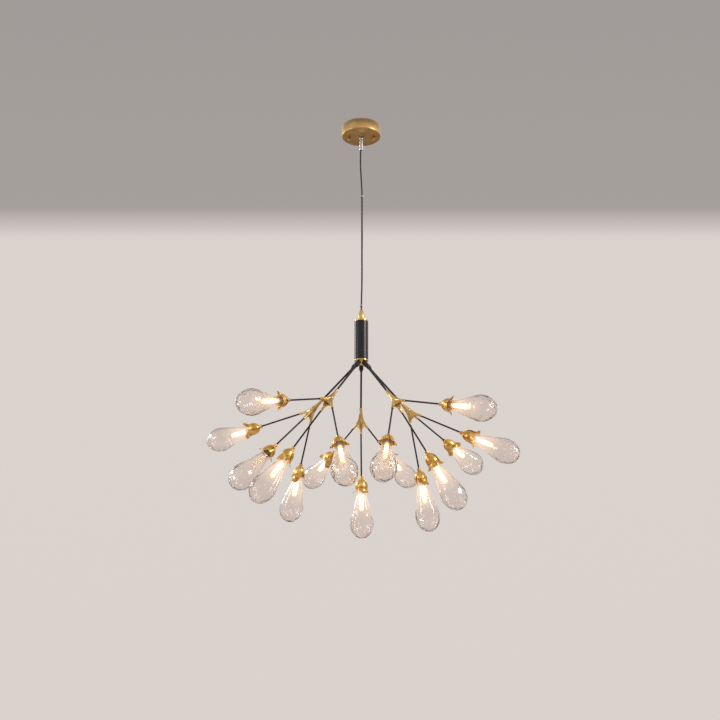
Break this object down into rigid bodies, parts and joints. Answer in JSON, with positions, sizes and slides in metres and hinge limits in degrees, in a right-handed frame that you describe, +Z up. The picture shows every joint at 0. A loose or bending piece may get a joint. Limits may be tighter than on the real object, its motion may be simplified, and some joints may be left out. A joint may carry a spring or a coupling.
{
  "type": "branch chandelier",
  "caption": "Ceiling chandelier: cup, cord with steel wire, slim body tube and slender arms that fork into rods with brass flower cups and clear glass drops.",
  "frame": {"origin": "middle of the ceiling strap's upper face, in the plane of the ceiling", "axes": "+Z up into the ceiling, -Y towards the viewer of the picture, +X to the viewer's right; the slots run along X"},
  "size_m": [0.7564, 0.6699, 1.0418],
  "materials": {
    "brass": "satin warm brass, lightly polished",
    "black_metal": "semi-gloss black powder coat",
    "steel": "zinc-plated steel strap and bright steel wire",
    "chrome": "bright nickel gland",
    "black_cord": "matt black round lead",
    "clear_plastic": "clear moulded grip and clips",
    "white_plastic": "off-white moulded block, driver case and ceramic lamp holder",
    "lamp": "frosted lamp envelope, warm white glow",
    "clear_glass": "clear blown glass, smooth"
  },
  "bodies": {
    "ceiling_mount": {"mounting_bracket": "steel", "canopy": "brass", "cap_nuts": "brass", "terminal_block": "white_plastic", "cord_gland": "chrome", "lead_tail": "black_cord"},
    "cord": {"cord_grip": "clear_plastic", "power_cord": "black_cord", "suspension_wire": "steel", "cable_clips": "clear_plastic"},
    "gripper": {"cable_gripper": "brass"},
    "pendant": {"top_cap": "brass", "body_tube": "black_metal", "led_driver": "white_plastic", "hub": "brass", "arm_front_left": "black_metal", "arm_left": "black_metal", "arm_back": "black_metal", "arm_front_right": "black_metal", "arm_right": "black_metal"},
    "branch_front_left": {"tripod_front_left": "brass", "rods_front_left": "black_metal", "cups_front_left": "brass", "holders_front_left": "white_plastic", "lamps_front_left": "lamp"},
    "glass_front_left_1": {"glass_front_left_1": "clear_glass"},
    "glass_front_left_2": {"glass_front_left_2": "clear_glass"},
    "glass_front_left_3": {"glass_front_left_3": "clear_glass"},
    "branch_left": {"tripod_left": "brass", "rods_left": "black_metal", "cups_left": "brass", "holders_left": "white_plastic", "lamps_left": "lamp"},
    "glass_left_1": {"glass_left_1": "clear_glass"},
    "glass_left_2": {"glass_left_2": "clear_glass"},
    "glass_left_3": {"glass_left_3": "clear_glass"},
    "branch_back": {"tripod_back": "brass", "rods_back": "black_metal", "cups_back": "brass", "holders_back": "white_plastic", "lamps_back": "lamp"},
    "glass_back_1": {"glass_back_1": "clear_glass"},
    "glass_back_2": {"glass_back_2": "clear_glass"},
    "glass_back_3": {"glass_back_3": "clear_glass"},
    "branch_front_right": {"tripod_front_right": "brass", "rods_front_right": "black_metal", "cups_front_right": "brass", "holders_front_right": "white_plastic", "lamps_front_right": "lamp"},
    "glass_front_right_1": {"glass_front_right_1": "clear_glass"},
    "glass_front_right_2": {"glass_front_right_2": "clear_glass"},
    "glass_front_right_3": {"glass_front_right_3": "clear_glass"},
    "branch_right": {"tripod_right": "brass", "rods_right": "black_metal", "cups_right": "brass", "holders_right": "white_plastic", "lamps_right": "lamp"},
    "glass_right_1": {"glass_right_1": "clear_glass"},
    "glass_right_2": {"glass_right_2": "clear_glass"},
    "glass_right_3": {"glass_right_3": "clear_glass"}
  },
  "joints": [
    {"name": "cord_swing", "type": "hinge", "parent": "ceiling_mount", "child": "cord", "pos_m": [0, 0, -0.034], "axis": [1, 0, 0], "range_deg": [-6, 6]},
    {"name": "pendant_rock", "type": "hinge", "parent": "cord", "child": "gripper", "pos_m": [0, 0, -0.501], "axis": [0, 1, 0], "range_deg": [-5, 5]},
    {"name": "pendant_twist", "type": "hinge", "parent": "gripper", "child": "pendant", "pos_m": [0, 0, -0.526], "axis": [0, 0, 1], "range_deg": [-180, 180]},
    {"name": "branch_turn_front_left", "type": "hinge", "parent": "pendant", "child": "branch_front_left", "pos_m": [-0.07169, -0.09377, -0.74695], "axis": [-0.4242, -0.5548, -0.7157], "range_deg": [0, 20]},
    {"name": "glass_pull_front_left_1", "type": "slide", "parent": "branch_front_left", "child": "glass_front_left_1", "axis": [0.1403, -0.6274, -0.7659], "range_m": [0, 0.07]},
    {"name": "glass_pull_front_left_2", "type": "slide", "parent": "branch_front_left", "child": "glass_front_left_2", "axis": [-0.6235, -0.751, -0.2174], "range_m": [0, 0.07]},
    {"name": "glass_pull_front_left_3", "type": "slide", "parent": "branch_front_left", "child": "glass_front_left_3", "axis": [-0.5817, -0.0143, -0.8133], "range_m": [0, 0.07]},
    {"name": "branch_turn_left", "type": "hinge", "parent": "pendant", "child": "branch_left", "pos_m": [-0.1163, 0.02835, -0.74529], "axis": [-0.6882, 0.1678, -0.7059], "range_deg": [0, 20]},
    {"name": "glass_pull_left_1", "type": "slide", "parent": "branch_left", "child": "glass_left_1", "axis": [-0.5963, -0.3961, -0.6982], "range_m": [0, 0.07]},
    {"name": "glass_pull_left_2", "type": "slide", "parent": "branch_left", "child": "glass_left_2", "axis": [-0.9092, 0.357, -0.2141], "range_m": [0, 0.07]},
    {"name": "glass_pull_left_3", "type": "slide", "parent": "branch_left", "child": "glass_left_3", "axis": [-0.222, 0.4602, -0.8596], "range_m": [0, 0.07]},
    {"name": "branch_turn_back", "type": "hinge", "parent": "pendant", "child": "branch_back", "pos_m": [-0.00099, 0.11395, -0.7508], "axis": [-0.0059, 0.6743, -0.7385], "range_deg": [-20, 20]},
    {"name": "glass_pull_back_1", "type": "slide", "parent": "branch_back", "child": "glass_back_1", "axis": [0.0082, 0.16, -0.9871], "range_m": [0, 0.07]},
    {"name": "glass_pull_back_2", "type": "slide", "parent": "branch_back", "child": "glass_back_2", "axis": [-0.4855, 0.7561, -0.4389], "range_m": [0, 0.07]},
    {"name": "glass_pull_back_3", "type": "slide", "parent": "branch_back", "child": "glass_back_3", "axis": [0.4626, 0.7766, -0.4277], "range_m": [0, 0.07]},
    {"name": "branch_turn_front_right", "type": "hinge", "parent": "pendant", "child": "branch_front_right", "pos_m": [0.07464, -0.08895, -0.74879], "axis": [0.4417, -0.5263, -0.7266], "range_deg": [-20, 20]},
    {"name": "glass_pull_front_right_1", "type": "slide", "parent": "branch_front_right", "child": "glass_front_right_1", "axis": [0.5175, 0.0252, -0.8553], "range_m": [0, 0.07]},
    {"name": "glass_pull_front_right_2", "type": "slide", "parent": "branch_front_right", "child": "glass_front_right_2", "axis": [0.7013, -0.6717, -0.2388], "range_m": [0, 0.07]},
    {"name": "glass_pull_front_right_3", "type": "slide", "parent": "branch_front_right", "child": "glass_front_right_3", "axis": [-0.1101, -0.6747, -0.7298], "range_m": [0, 0.07]},
    {"name": "branch_turn_right", "type": "hinge", "parent": "pendant", "child": "branch_right", "pos_m": [0.1134, 0.03273, -0.74695], "axis": [0.671, 0.1937, -0.7157], "range_deg": [-20, 20]},
    {"name": "glass_pull_right_1", "type": "slide", "parent": "branch_right", "child": "glass_right_1", "axis": [0.1734, 0.0987, -0.9799], "range_m": [0, 0.07]},
    {"name": "glass_pull_right_2", "type": "slide", "parent": "branch_right", "child": "glass_right_2", "axis": [0.6524, 0.6557, -0.3801], "range_m": [0, 0.07]},
    {"name": "glass_pull_right_3", "type": "slide", "parent": "branch_right", "child": "glass_right_3", "axis": [0.8587, -0.2682, -0.4366], "range_m": [0, 0.07]}
  ]
}
